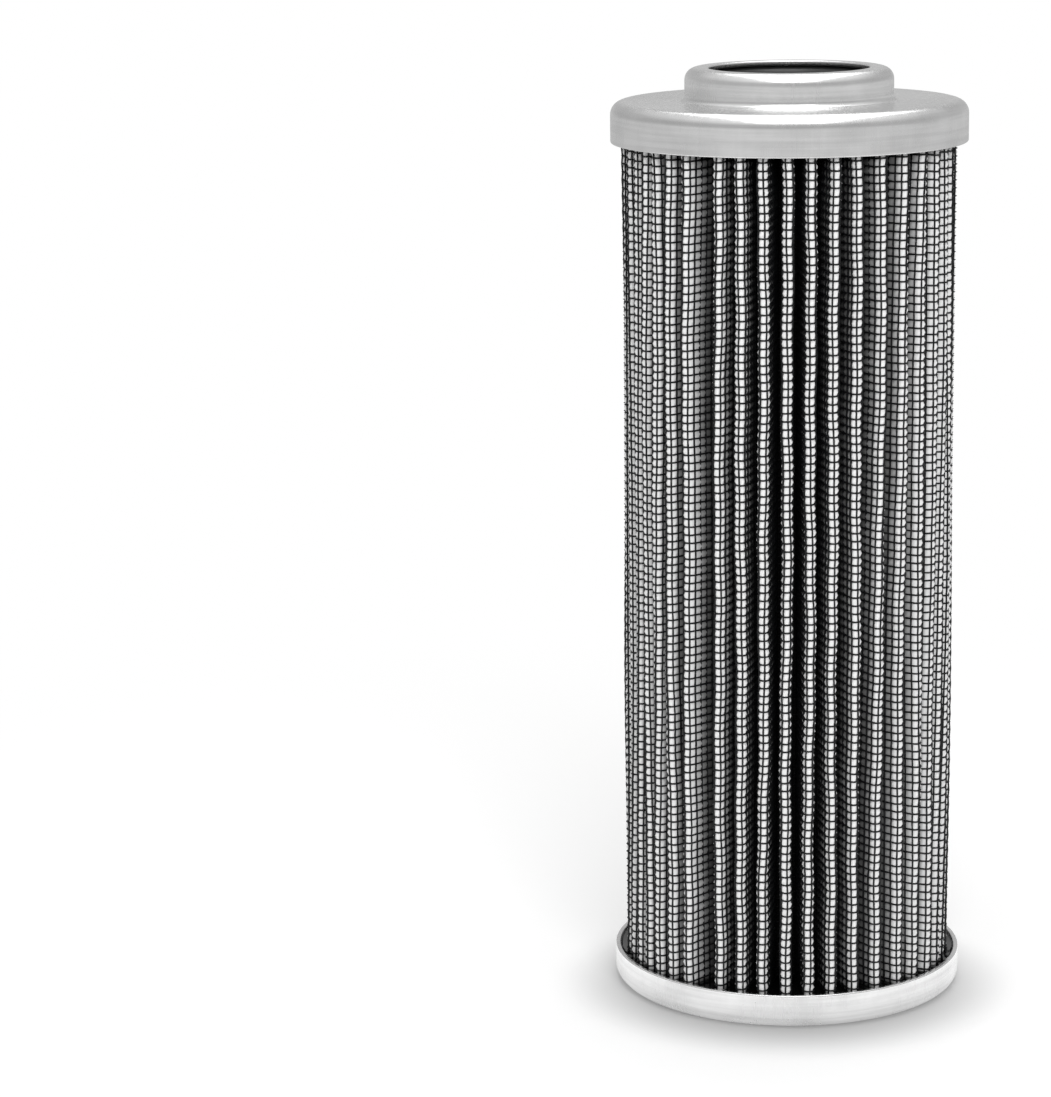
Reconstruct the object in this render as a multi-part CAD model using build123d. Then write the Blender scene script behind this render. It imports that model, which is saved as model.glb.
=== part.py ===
"""Pleated hydraulic filter element, standing on its closed end.

A pleated pack of three co-folded layers (outer wire mesh, filter media, inner
wire mesh) stands round a slotted core tube.  A pressed pan closes the bottom, a
pressed cap with a neck closes the top, and cast resin seals the pack in both.
The neck holds an O-ring on a small hat-shaped retainer ring.

Millimetres, +Z up, origin at the middle of the underside of the bottom pan.
"""
from build123d import *
from math import atan2, cos, degrees, radians, sin, sqrt
import os

os.makedirs("parts", exist_ok=True)

# ---- overall ----------------------------------------------------------------
total_height = 180.0
cap_diameter = 68.0
cap_sheet = 1.0               # sheet thickness of both pressed caps
cap_round = 2.5               # outer radius where a skirt turns into a flat

# ---- top cap and neck ---------------------------------------------------------
neck_height = 6.2             # from the flange up to the neck's lip
neck_round = 2.3              # outer radius of the neck's top edge
neck_fillet = 1.2             # hollow radius where the neck leaves the flange
top_skirt_height = 7.8        # from the flange down to the skirt's cut edge
bore_diameter = 30.6          # hole in the lip, for the mating spigot
lip_break = 0.3               # broken outer edge of the lip's hole

# ---- bottom pan ---------------------------------------------------------------
pan_height = 6.7
recess_diameter = 26.0        # shallow stamped recess in the middle of the base
recess_depth = 0.8

# ---- neck seal ------------------------------------------------------------------
o_ring_cord = 3.5
o_ring_proud = 0.2            # how far the ring stands into the lip's hole
o_ring_clearance = 0.05       # above and below the ring
o_ring_side_clearance = 0.25  # between the ring and the neck's wall
retainer_sheet = 0.8
retainer_setback = 0.4        # the retainer's hole stands back this far from the lip's
retainer_side_clearance = 0.25
retainer_clearance = 0.1      # above the brim
retainer_brim = 2.0           # how far the brim stands out from the hat's wall

# ---- core tube ------------------------------------------------------------------
core_diameter = 39.0
core_sheet = 1.0
slot_width = 4.0
slot_length = 15.0
slot_columns = 8              # in each row; every second row is turned half a step
slot_rows = 7
slot_margin = 8.0             # unslotted stretch at each end
lock_seam_width = 3.0
lock_seam_depth = 0.8

# ---- pleated pack ---------------------------------------------------------------
pack_rim_gap = 1.0            # from the pleat tips out to the pan's skirt
pleat_count = 44
outer_mesh_sheet = 0.3
media_sheet = 0.4
inner_mesh_sheet = 0.3
tip_gap = 0.4                 # between the two legs inside a pleat's tip
root_gap = 0.4                # between neighbouring pleats at a valley's bottom
core_gap = 0.2                # from the folds' inner side to the core tube
seam_angle = -121.0           # where the strip's two ends are joined, in degrees
seam_valley = 12.9            # the valley there is wider than the others, in degrees
most_lean = 5.0               # how far the tips lean round the pack, in degrees
lean_start = 5.3              # pleats after the seam that stand upright
lean_end = 0.8                # and before it
lean_ramp = 4.4               # pleats over which the lean sets in
seam_bead_depth = 3.0
seam_bead_clearance = 0.05

# ---- cast resin -----------------------------------------------------------------
resin_below_rim = 1.0         # resin surface below the pan's rim
resin_above_edge = 1.2        # resin surface above the top skirt's cut edge
resin_clearance = 0.1         # round the core tube and the retainer's brim

# ---- levels and radii that follow ---------------------------------------------
cap_radius = cap_diameter / 2
skirt_inner_radius = cap_radius - cap_sheet
flange_top = total_height - neck_height
flange_underside = flange_top - cap_sheet
top_skirt_edge = flange_top - top_skirt_height
lip_underside = total_height - cap_sheet
bore_radius = bore_diameter / 2

o_ring_radius = o_ring_cord / 2
o_ring_inner_radius = bore_radius - o_ring_proud
neck_inner_radius = o_ring_inner_radius + o_ring_cord + o_ring_side_clearance
neck_radius = neck_inner_radius + cap_sheet
o_ring_level = lip_underside - o_ring_clearance - o_ring_radius
shelf_top = o_ring_level - o_ring_radius - o_ring_clearance
brim_top = flange_underside - retainer_clearance
brim_underside = brim_top - retainer_sheet
retainer_inner_radius = bore_radius + retainer_setback
hat_radius = neck_inner_radius - retainer_side_clearance
brim_radius = hat_radius + retainer_brim

core_radius = core_diameter / 2
core_inner_radius = core_radius - core_sheet
core_bottom = cap_sheet
core_top = brim_underside

pack_bottom = pan_height - resin_below_rim
pack_top = top_skirt_edge + resin_above_edge
stack = outer_mesh_sheet + media_sheet + inner_mesh_sheet
tip_radius = stack + tip_gap / 2
valley_radius = root_gap / 2
pack_radius = skirt_inner_radius - pack_rim_gap
tip_centre_radius = pack_radius - tip_radius
root_centre_radius = core_radius + core_gap + valley_radius + stack
pleat_pitch = (360.0 - seam_valley) / (pleat_count - 1)


def inner_bevel(outer_round):
    """Leg of the 45 degree bevel that keeps the sheet's thickness inside a round."""
    return (outer_round - cap_sheet) * (2 - sqrt(2))


def turned(*corners):
    """Solid of revolution about Z from (radius, height, corner radius) corners."""
    points = [(radius, height) for radius, height, _ in corners]
    path = FilletPolyline(*points, radius=[corner for _, _, corner in corners], close=True)
    return revolve(Plane.XZ * make_face(path), Axis.Z)


# ---- pressed caps ---------------------------------------------------------------
def make_top_end_cap():
    """Pressed cap: skirt, flange, and a neck whose lip is turned in over the O-ring."""
    skirt_bevel = inner_bevel(cap_round)
    neck_bevel = inner_bevel(neck_round)
    return turned(
        (cap_radius, top_skirt_edge, 0),
        (cap_radius, flange_top, cap_round),
        (neck_radius, flange_top, neck_fillet),
        (neck_radius, total_height, neck_round),
        (bore_radius + lip_break, total_height, 0),
        (bore_radius, total_height - lip_break, 0),
        (bore_radius, lip_underside, 0),
        (neck_inner_radius - neck_bevel, lip_underside, 0),
        (neck_inner_radius, lip_underside - neck_bevel, 0),
        (neck_inner_radius, flange_underside, 0),
        (skirt_inner_radius - skirt_bevel, flange_underside, 0),
        (skirt_inner_radius, flange_underside - skirt_bevel, 0),
        (skirt_inner_radius, top_skirt_edge, 0),
    )


def make_bottom_end_cap():
    """Pressed pan with a rounded edge and a shallow recess stamped up into its base."""
    skirt_bevel = inner_bevel(cap_round)
    recess_radius = recess_diameter / 2
    recess_top = recess_radius - recess_depth
    return turned(
        (0, recess_depth, 0),
        (recess_top, recess_depth, 0),
        (recess_radius, 0, 0),
        (cap_radius, 0, cap_round),
        (cap_radius, pan_height, 0),
        (skirt_inner_radius, pan_height, 0),
        (skirt_inner_radius, cap_sheet + skirt_bevel, 0),
        (skirt_inner_radius - skirt_bevel, cap_sheet, 0),
        (recess_radius, cap_sheet, 0),
        (recess_top, cap_sheet + recess_depth, 0),
        (0, cap_sheet + recess_depth, 0),
    )


# ---- neck seal ------------------------------------------------------------------
def make_neck_o_ring():
    """Rubber ring that stands slightly proud of the lip's hole."""
    return Pos(0, 0, o_ring_level) * Torus(o_ring_inner_radius + o_ring_radius, o_ring_radius)


def make_seal_retainer():
    """Hat-shaped pressed ring: a shelf under the O-ring and a brim on the core tube."""
    wall_radius = hat_radius - retainer_sheet
    return turned(
        (retainer_inner_radius, shelf_top, 0),
        (retainer_inner_radius, shelf_top - retainer_sheet, 0),
        (wall_radius, shelf_top - retainer_sheet, 0),
        (wall_radius, brim_underside, 0),
        (brim_radius, brim_underside, 0),
        (brim_radius, brim_top, 0),
        (hat_radius, brim_top, 0),
        (hat_radius, shelf_top, 0),
    )


# ---- core tube ------------------------------------------------------------------
def make_core_tube():
    """Slotted tube rolled from sheet, with its lock seam folded to the inside."""
    height = core_top - core_bottom
    upright = (Align.CENTER, Align.CENTER, Align.MIN)
    tube = Cylinder(core_radius, height, align=upright) - Cylinder(core_inner_radius, height, align=upright)
    seam = Cylinder(core_inner_radius, height, align=upright)
    seam -= Cylinder(core_inner_radius - lock_seam_depth, height, align=upright)
    seam &= Box(core_radius, lock_seam_width, height, align=(Align.MIN, Align.CENTER, Align.MIN))
    step = 360.0 / slot_columns
    row_pitch = (height - 2 * slot_margin) / slot_rows
    slots = [
        Rot(0, 0, (column + row % 2 / 2) * step)
        * Pos(core_radius, 0, slot_margin + (row + 0.5) * row_pitch)
        * Box(4 * core_sheet, slot_width, slot_length)
        for row in range(slot_rows)
        for column in range(slot_columns)
    ]
    tube = tube - slots + Rot(0, 0, step / 4) * seam
    return Pos(0, 0, core_bottom) * tube


# ---- pleated pack ---------------------------------------------------------------
def polar(radius, angle):
    return Vector(radius * cos(radians(angle)), radius * sin(radians(angle)))


def smooth_step(share):
    """0 up to a share of 0, 1 from a share of 1, and a smooth rise between them."""
    share = min(max(share, 0.0), 1.0)
    return share * share * (3 - 2 * share)


def upright_angle(pleat):
    """Angle midway between a pleat's roots, counter-clockwise from the seam's valley."""
    return seam_angle + seam_valley / 2 + pleat * pleat_pitch


def tip_angles():
    """Angles of the pleat tips; away from the seam they lean, as a folded pack's do."""
    angles = []
    for pleat in range(pleat_count):
        after_seam = smooth_step((pleat - lean_start) / lean_ramp)
        before_seam = smooth_step((pleat_count - 1 - pleat - lean_end) / lean_ramp)
        angles.append(upright_angle(pleat) + most_lean * after_seam * before_seam)
    return angles


def valley_angle(tip):
    """Angle of the valley that follows the tip with this number."""
    if tip == pleat_count - 1:
        return seam_angle
    return upright_angle(tip) + pleat_pitch / 2


def leg_normal(tip_centre, root_centre, side):
    """Unit normal of a leg, out of the pleat, for the side +1 (after) or -1 (before).

    The leg is the inner tangent of a circle round the tip's centre and one round
    the root's centre.  The two radii always add up to the same length, so every
    layer's leg has this normal.
    """
    across = root_centre - tip_centre
    unit = across.normalized()
    along = (tip_radius + valley_radius) / across.length
    sideways = sqrt(1 - along * along)
    return unit * along + Vector(unit.Y, -unit.X) * side * sideways


def round_in_flats(centre, radius, start, end, turn, steps):
    """Arc about the centre from one direction to another, cut into equal flats;
    turn +1 is counter-clockwise and -1 clockwise."""
    start_angle = degrees(atan2(start.Y, start.X))
    sweep = (degrees(atan2(end.Y, end.X)) - start_angle) * turn % 360 * turn
    inner = [centre + polar(radius, start_angle + sweep * step / steps) for step in range(1, steps)]
    points = [centre + start * radius, *inner, centre + end * radius]
    return [Line(first, second) for first, second in zip(points, points[1:])]


def pleated_outline(depth, tip_steps, root_steps):
    """Closed zigzag at this depth below the pack's outer surface.

    Each tip is a round of (tip radius - depth), each root a round of (valley
    radius + depth), and straight tangents join them.
    """
    tip_arc = tip_radius - depth
    root_arc = valley_radius + depth
    tips = [polar(tip_centre_radius, angle) for angle in tip_angles()]
    roots = [polar(root_centre_radius, valley_angle(tip)) for tip in range(pleat_count)]
    edges = []
    for tip in range(pleat_count):
        following = (tip + 1) % pleat_count
        before = leg_normal(tips[tip], roots[tip - 1], -1)
        after = leg_normal(tips[tip], roots[tip], 1)
        rising = leg_normal(tips[following], roots[tip], -1)
        edges += round_in_flats(tips[tip], tip_arc, before, after, 1, tip_steps)
        edges.append(Line(tips[tip] + after * tip_arc, roots[tip] - after * root_arc))
        edges += round_in_flats(roots[tip], root_arc, after * -1, rising * -1, -1, root_steps)
        edges.append(Line(roots[tip] - rising * root_arc, tips[following] + rising * tip_arc))
    return Wire(edges)


def pleated_layer(outer_outline, inner_outline):
    """Upright pleated ring between two zigzag outlines."""
    section = make_face(outer_outline) - make_face(inner_outline)
    return Pos(0, 0, pack_bottom) * extrude(section, pack_top - pack_bottom, dir=(0, 0, 1))


def make_side_seam_bead():
    """Bead of resin that joins the strip's two ends at the bottom of the wide valley."""
    root = polar(root_centre_radius, seam_angle)
    tips = tip_angles()
    corners = []
    for tip, side in ((pleat_count - 1, 1), (0, -1)):
        centre = polar(tip_centre_radius, tips[tip])
        normal = leg_normal(centre, root, side)
        low = root - normal * valley_radius
        along = (centre + normal * tip_radius - low).normalized()
        seat = low + normal * seam_bead_clearance
        corners.append([seat + along * valley_radius, seat + along * (valley_radius + seam_bead_depth)])
    outline = Polyline(*corners[0], *reversed(corners[1]), close=True)
    return Pos(0, 0, pack_bottom) * extrude(make_face(outline), pack_top - pack_bottom, dir=(0, 0, 1))


# ---- cast resin -----------------------------------------------------------------
def make_top_potting():
    """Resin under the flange, from the core tube out to the skirt."""
    skirt_bevel = inner_bevel(cap_round)
    return turned(
        (core_radius + resin_clearance, pack_top, 0),
        (skirt_inner_radius, pack_top, 0),
        (skirt_inner_radius, flange_underside - skirt_bevel, 0),
        (skirt_inner_radius - skirt_bevel, flange_underside, 0),
        (brim_radius + resin_clearance, flange_underside, 0),
        (brim_radius + resin_clearance, brim_underside - resin_clearance, 0),
        (core_radius + resin_clearance, brim_underside - resin_clearance, 0),
    )


def make_bottom_potting():
    """Resin in the pan, from the core tube out to the skirt."""
    skirt_bevel = inner_bevel(cap_round)
    return turned(
        (core_radius + resin_clearance, cap_sheet, 0),
        (skirt_inner_radius - skirt_bevel, cap_sheet, 0),
        (skirt_inner_radius, cap_sheet + skirt_bevel, 0),
        (skirt_inner_radius, pack_bottom, 0),
        (core_radius + resin_clearance, pack_bottom, 0),
    )


# ---- write every piece ----------------------------------------------------------
# Each outline's tips and roots are cut into this many flats: most at the tips
# outside, where they show, and few inside the pack.
outer_surface = pleated_outline(0, 6, 1)
mesh_on_media = pleated_outline(outer_mesh_sheet, 3, 2)
media_on_mesh = pleated_outline(outer_mesh_sheet + media_sheet, 2, 2)
inner_surface = pleated_outline(stack, 1, 3)

pieces = {
    "top_end_cap": make_top_end_cap(),
    "bottom_end_cap": make_bottom_end_cap(),
    "neck_o_ring": make_neck_o_ring(),
    "seal_retainer": make_seal_retainer(),
    "core_tube": make_core_tube(),
    "outer_wire_mesh": pleated_layer(outer_surface, mesh_on_media),
    "filter_media": pleated_layer(mesh_on_media, media_on_mesh),
    "inner_wire_mesh": pleated_layer(media_on_mesh, inner_surface),
    "side_seam_bead": make_side_seam_bead(),
    "top_potting": make_top_potting(),
    "bottom_potting": make_bottom_potting(),
}

for name, piece in pieces.items():
    export_step(piece, f"parts/{name}.step")
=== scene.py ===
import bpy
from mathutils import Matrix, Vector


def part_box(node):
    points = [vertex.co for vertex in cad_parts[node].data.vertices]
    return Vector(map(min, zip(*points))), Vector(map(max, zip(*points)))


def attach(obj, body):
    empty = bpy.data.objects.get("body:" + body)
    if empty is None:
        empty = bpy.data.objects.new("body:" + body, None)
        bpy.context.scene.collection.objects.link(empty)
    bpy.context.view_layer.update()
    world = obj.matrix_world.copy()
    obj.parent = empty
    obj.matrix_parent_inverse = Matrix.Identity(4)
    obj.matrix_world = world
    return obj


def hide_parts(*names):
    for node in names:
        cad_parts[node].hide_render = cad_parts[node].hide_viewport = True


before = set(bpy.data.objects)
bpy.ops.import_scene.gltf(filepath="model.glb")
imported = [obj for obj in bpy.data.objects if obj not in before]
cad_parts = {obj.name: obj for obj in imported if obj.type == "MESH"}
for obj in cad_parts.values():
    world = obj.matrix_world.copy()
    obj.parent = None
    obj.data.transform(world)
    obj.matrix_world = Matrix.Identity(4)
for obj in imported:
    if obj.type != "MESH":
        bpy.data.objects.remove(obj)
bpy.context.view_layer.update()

import bpy
import numpy as np
from mathutils import Matrix, Vector

mm = 0.001
rng = np.random.default_rng(44)


def boxMm(node):
    # a node's lowest and highest corners, in millimetres
    low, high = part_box(node)
    return np.array(low) / mm, np.array(high) / mm


def linear(hexColour):
    # sRGB to linear: c / 12.92 up to 0.04045, and ((c + 0.055) / 1.055) to the power 2.4 above it
    c = np.array([int(hexColour[i:i + 2], 16) for i in (1, 3, 5)]) / 255
    return (*np.where(c <= 0.04045, c / 12.92, ((c + 0.055) / 1.055) ** 2.4).tolist(), 1.0)


def addNode(tree, kind, settings={}, inputs={}):
    # a node with its settings; each input is a value, or the socket that feeds it
    node = tree.nodes.new(kind)
    for name, value in settings.items():
        setattr(node, name, value)
    for name, value in inputs.items():
        if isinstance(value, bpy.types.NodeSocket):
            tree.links.new(value, node.inputs[name])
        else:
            node.inputs[name].default_value = value
    return node


def emptyTree(owner):
    # the node tree of a material or a world, with nothing in it
    owner.use_nodes = True
    owner.node_tree.nodes.clear()
    return owner.node_tree


def newMaterial(name):
    # a material, its empty tree, and the place on the piece that its patterns follow
    material = bpy.data.materials.new(name)
    tree = emptyTree(material)
    return material, tree, addNode(tree, "ShaderNodeTexCoord").outputs["Object"]


def closeMaterial(tree, inputs):
    # the Principled surface, with fixed values and patterns on its inputs
    surface = addNode(tree, "ShaderNodeBsdfPrincipled", {}, inputs)
    addNode(tree, "ShaderNodeOutputMaterial", {}, {"Surface": surface.outputs["BSDF"]})


def smoothStep(share):
    # 0 up to a share of 0, 1 from a share of 1, and 3x^2 - 2x^3 between them
    share = np.clip(share, 0, 1)
    return share * share * (3 - 2 * share)


def isWhole(values):
    # true at whole numbers, with room for rounding errors on both sides
    return np.abs(values - np.round(values)) < 0.01


def gridFaces(rows, columns, closedRows=False, closedColumns=False):
    # one quad between each two neighbouring rows and columns, wrapping where the grid is closed
    r, c = np.meshgrid(np.arange(rows if closedRows else rows - 1),
                       np.arange(columns if closedColumns else columns - 1), indexing="ij")
    nextR, nextC = (r + 1) % rows, (c + 1) % columns
    corners = (r * columns + c, r * columns + nextC, nextR * columns + nextC, nextR * columns + c)
    return np.stack(corners, -1).reshape(-1, 4)


def makePiece(name, points, faces, material, node, attributes={}):
    # a smooth mesh from points in millimetres, with its finish and the CAD node that it stands for
    mesh = bpy.data.meshes.new(name)
    mesh.from_pydata((np.asarray(points).reshape(-1, 3) * mm).tolist(), [], faces)
    mesh.polygons.foreach_set("use_smooth", np.ones(len(mesh.polygons), bool))
    for label, values in attributes.items():
        layer = mesh.attributes.new(label, "FLOAT", "POINT")
        layer.data.foreach_set("value", np.asarray(values, np.float32).ravel())
    mesh.update()
    piece = bpy.data.objects.new(name, mesh)
    bpy.context.scene.collection.objects.link(piece)
    mesh.materials.append(material)
    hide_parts(node)
    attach(piece, "root")


rounding = {"arcStep": 10, "fewestSteps": 3,        # degrees, and a count
            "margin": 0.12, "marginShare": 0.3}     # millimetres, and as a share of the round


def roundedProfile(corners, closed=True):
    # Each (radius, height, round) corner becomes an arc that touches both of its sides, in short
    # steps, with one more point on each side just before the arc.
    corners = np.array(corners, float)
    count = len(corners)
    profile = []
    for i, (r, z, size) in enumerate(corners):
        here = np.array([r, z])
        if size == 0 or (not closed and i in (0, count - 1)):
            profile.append(here)
            continue
        back = corners[i - 1, :2] - here
        ahead = corners[(i + 1) % count, :2] - here
        back, ahead = back / np.linalg.norm(back), ahead / np.linalg.norm(ahead)
        between = np.arccos(np.clip(back @ ahead, -1, 1))
        reach = size / np.tan(between / 2)
        middle = (back + ahead) / np.linalg.norm(back + ahead)
        centre = here + middle * size / np.sin(between / 2)
        start, end = here + back * reach - centre, here + ahead * reach - centre
        turn = np.pi - between
        steps = max(rounding["fewestSteps"], round(turn / np.radians(rounding["arcStep"])))
        share = np.linspace(0, 1, steps + 1)[:, None]
        arc = centre + (np.sin((1 - share) * turn) * start + np.sin(share * turn) * end) / np.sin(turn)
        margin = min(rounding["margin"], rounding["marginShare"] * size)
        profile += [here + back * (reach + margin), *arc, here + ahead * (reach + margin)]
    return np.array(profile)


def revolve(profile, steps):
    # (radius, height) points carried round Z: x = r cos a, y = r sin a; a point on the axis is a pole
    ring = profile[profile[:, 0] > 0]
    angle = np.arange(steps) / steps * 2 * np.pi
    x, y = ring[:, :1] * np.cos(angle), ring[:, :1] * np.sin(angle)
    points = np.stack([x, y, np.broadcast_to(ring[:, 1:], x.shape)], -1).reshape(-1, 3)
    hasPoles = len(ring) < len(profile)
    faces = gridFaces(len(ring), steps, closedRows=not hasPoles, closedColumns=True).tolist()
    if hasPoles:
        around = np.arange(steps)
        following = (around + 1) % steps
        first, last = len(points), len(points) + 1
        points = np.vstack([points, [0, 0, profile[0, 1]], [0, 0, profile[-1, 1]]])
        top = (len(ring) - 1) * steps
        faces += np.stack([np.full(steps, first), following, around], -1).tolist()
        faces += np.stack([top + around, top + following, np.full(steps, last)], -1).tolist()
    return points, faces


studio = {
    "fill": 0.34,                                   # what diffuse surfaces see round them
    "brightSide": (0.35, -0.94, 0.0),               # from here on, what metal sees
    "horizonBright": 0.74, "horizonDim": 0.57, "horizonEnds": 0.14,     # the last is a height, as a share
    "bandGrey": 0.50, "bandEnds": 0.45,
    "ceilingFrom": 0.75, "ceilingGrey": 0.85, "overheadGrey": 0.9,
}


def horizonGlow(tree, direction):
    # the horizon's brightness in metal: it falls evenly from the bright side to the side across from it
    towardsBright = addNode(tree, "ShaderNodeVectorMath", {"operation": "DOT_PRODUCT"},
                            {0: direction, 1: studio["brightSide"]})
    glow = addNode(tree, "ShaderNodeMapRange", {},
                   {"Value": towardsBright.outputs["Value"], "From Min": -1.0, "From Max": 1.0,
                    "To Min": studio["horizonDim"], "To Max": studio["horizonBright"]})
    return glow.outputs[0]


def makeWorld():
    # white to the eye; metal sees the horizon, a darker band above it and a pale ceiling
    world = bpy.data.worlds.new("studio")
    bpy.context.scene.world = world
    tree = emptyTree(world)
    path = addNode(tree, "ShaderNodeLightPath")
    way = addNode(tree, "ShaderNodeTexCoord").outputs["Generated"]
    up = addNode(tree, "ShaderNodeSeparateXYZ", {}, {0: way}).outputs["Z"]
    ramp = addNode(tree, "ShaderNodeValToRGB", {}, {"Fac": up})
    stops = [(0.0, 0.0), (studio["horizonEnds"], studio["bandGrey"]),
             (studio["bandEnds"], studio["bandGrey"]),
             (studio["ceilingFrom"], studio["ceilingGrey"]), (1.0, studio["overheadGrey"])]
    while len(ramp.color_ramp.elements) < len(stops):
        ramp.color_ramp.elements.new(0.5)
    for element, (height, grey) in zip(ramp.color_ramp.elements, stops):
        element.position = height
        element.color = (grey, grey, grey, 1)
    # the horizon's own glow fades out as the band sets in
    nearHorizon = addNode(tree, "ShaderNodeMapRange", {},
                          {"Value": up, "From Min": 0.0, "From Max": studio["horizonEnds"],
                           "To Min": 1.0, "To Max": 0.0})
    low = addNode(tree, "ShaderNodeMath", {"operation": "MULTIPLY"},
                  {0: nearHorizon.outputs[0], 1: horizonGlow(tree, way)})
    room = addNode(tree, "ShaderNodeMath", {"operation": "ADD"},
                   {0: low.outputs[0], 1: ramp.outputs["Color"]})
    mirrored = addNode(tree, "ShaderNodeMix", {"data_type": "FLOAT"},
                       {0: path.outputs["Is Glossy Ray"], 2: studio["fill"], 3: room.outputs[0]})
    seen = addNode(tree, "ShaderNodeMix", {"data_type": "FLOAT"},
                   {0: path.outputs["Is Camera Ray"], 2: mirrored.outputs[0], 3: 1.0})
    background = addNode(tree, "ShaderNodeBackground", {},
                         {"Color": (1, 1, 1, 1), "Strength": seen.outputs[0]})
    addNode(tree, "ShaderNodeOutputWorld", {}, {"Surface": background.outputs[0]})


floorPaper = {
    "size": 9.0, "colour": "#E6E6E6",
    "shadowEnds": 0.11, "whiteFrom": 0.30,          # metres from the object's axis
    # a painted shadow round the pan's foot: its darkest tone, and where it starts and ends round its centre
    "paintedShadowTone": 0.42, "paintedShadowFrom": 0.024, "paintedShadowTo": 0.048,      # metres from its centre
    "paintedShadowCentre": (0.0, -0.005, 0.0),
    "liftSeen": 0.26, "liftMirrored": 0.40,         # a glow of its own, to the camera and to metal
}


def makeFloor():
    half = floorPaper["size"] / 2
    corners = [(-half, -half, 0), (half, -half, 0), (half, half, 0), (-half, half, 0)]
    mesh = bpy.data.meshes.new("floor")
    mesh.from_pydata(corners, [], [(0, 1, 2, 3)])
    floor = bpy.data.objects.new("floor", mesh)
    bpy.context.scene.collection.objects.link(floor)
    material, tree, place = newMaterial("matt_white_paper")
    mesh.materials.append(material)
    path = addNode(tree, "ShaderNodeLightPath")
    toCamera, toMetal = path.outputs["Is Camera Ray"], path.outputs["Is Glossy Ray"]
    # matt paper that keeps the real shadow near the object, with a painted shadow that darkens its colour
    # and its glow to the camera where the pan touches it
    fromPaintedShadow = addNode(tree, "ShaderNodeVectorMath", {"operation": "DISTANCE"},
                          {0: place, 1: floorPaper["paintedShadowCentre"]})
    paintedShadow = addNode(tree, "ShaderNodeMapRange", {"interpolation_type": "SMOOTHSTEP"},
                      {"Value": fromPaintedShadow.outputs["Value"], "From Min": floorPaper["paintedShadowFrom"],
                       "From Max": floorPaper["paintedShadowTo"], "To Min": floorPaper["paintedShadowTone"],
                       "To Max": 1.0})
    paintedShadowPaper = addNode(tree, "ShaderNodeMix", {"data_type": "RGBA"},
                    {0: paintedShadow.outputs[0], 6: (0, 0, 0, 1), 7: linear(floorPaper["colour"])})
    paper = addNode(tree, "ShaderNodeBsdfDiffuse", {}, {"Color": paintedShadowPaper.outputs[2]})
    paintedShadowSeen = addNode(tree, "ShaderNodeMath", {"operation": "MULTIPLY"}, {0: toCamera, 1: paintedShadow.outputs[0]})
    liftSeen = addNode(tree, "ShaderNodeMath", {"operation": "MULTIPLY"},
                       {0: paintedShadowSeen.outputs[0], 1: floorPaper["liftSeen"]})
    lift = addNode(tree, "ShaderNodeMath", {"operation": "MULTIPLY_ADD"},
                   {0: toMetal, 1: floorPaper["liftMirrored"], 2: liftSeen.outputs[0]})
    glow = addNode(tree, "ShaderNodeEmission", {}, {"Color": (1, 1, 1, 1), "Strength": lift.outputs[0]})
    near = addNode(tree, "ShaderNodeAddShader", {}, {0: paper.outputs[0], 1: glow.outputs[0]})
    # plain white further out: 1 to the camera, and as bright as the horizon to metal
    away = addNode(tree, "ShaderNodeVectorMath", {"operation": "LENGTH"}, {0: place})
    outwards = addNode(tree, "ShaderNodeVectorMath", {"operation": "NORMALIZE"}, {0: place})
    far = addNode(tree, "ShaderNodeMapRange", {"interpolation_type": "SMOOTHSTEP"},
                  {"Value": away.outputs["Value"], "From Min": floorPaper["shadowEnds"],
                   "From Max": floorPaper["whiteFrom"]})
    seen = addNode(tree, "ShaderNodeMath", {"operation": "MAXIMUM"}, {0: toCamera, 1: toMetal})
    farSeen = addNode(tree, "ShaderNodeMath", {"operation": "MULTIPLY"},
                      {0: far.outputs[0], 1: seen.outputs[0]})
    strength = addNode(tree, "ShaderNodeMath", {"operation": "MAXIMUM"},
                       {0: toCamera, 1: horizonGlow(tree, outwards.outputs[0])})
    white = addNode(tree, "ShaderNodeEmission", {},
                    {"Color": (1, 1, 1, 1), "Strength": strength.outputs[0]})
    whole = addNode(tree, "ShaderNodeMixShader", {},
                    {0: farSeen.outputs[0], 1: near.outputs[0], 2: white.outputs[0]})
    addNode(tree, "ShaderNodeOutputMaterial", {}, {"Surface": whole.outputs[0]})


lamps = {      # metres and watts; the first aims a hair off straight down, which settles how it is turned
    "overhead_softbox": {"place": (0.05, 0.05, 0.93), "aim": (0.05, 0.0501, 0), "size": (0.7, 1.7),
                         "power": 6.5, "mirrored": True},
    "left_softbox": {"place": (-0.95, -0.55, 0.45), "aim": (0, 0, 0.09), "size": (0.5, 0.8),
                     "power": 0.8, "mirrored": False},
    "front_softbox": {"place": (0.2, -1.28, 0.70), "aim": (0, 0, 0.08), "size": (0.8, 0.6),
                      "power": 11.5, "mirrored": False},
}


def addLamp(name, place, aim, size, power, mirrored):
    lamp = bpy.data.lights.new(name, "AREA")
    lamp.shape = "RECTANGLE"
    lamp.size, lamp.size_y = size
    lamp.energy = power
    holder = bpy.data.objects.new(name, lamp)
    bpy.context.scene.collection.objects.link(holder)
    turn = (Vector(aim) - Vector(place)).to_track_quat("-Z", "Y")
    holder.matrix_world = Matrix.LocRotScale(Vector(place), turn, None)
    holder.visible_glossy = mirrored


shot = {"place": (0.0, -0.6760, 0.2320), "aim": (-0.05127, 0.0, 0.0864),    # metres
        "roll": -0.0128, "lens": 116.0, "sensor": 36,                       # radians, millimetres
        "clipStart": 0.01, "clipEnd": 50}


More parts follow.
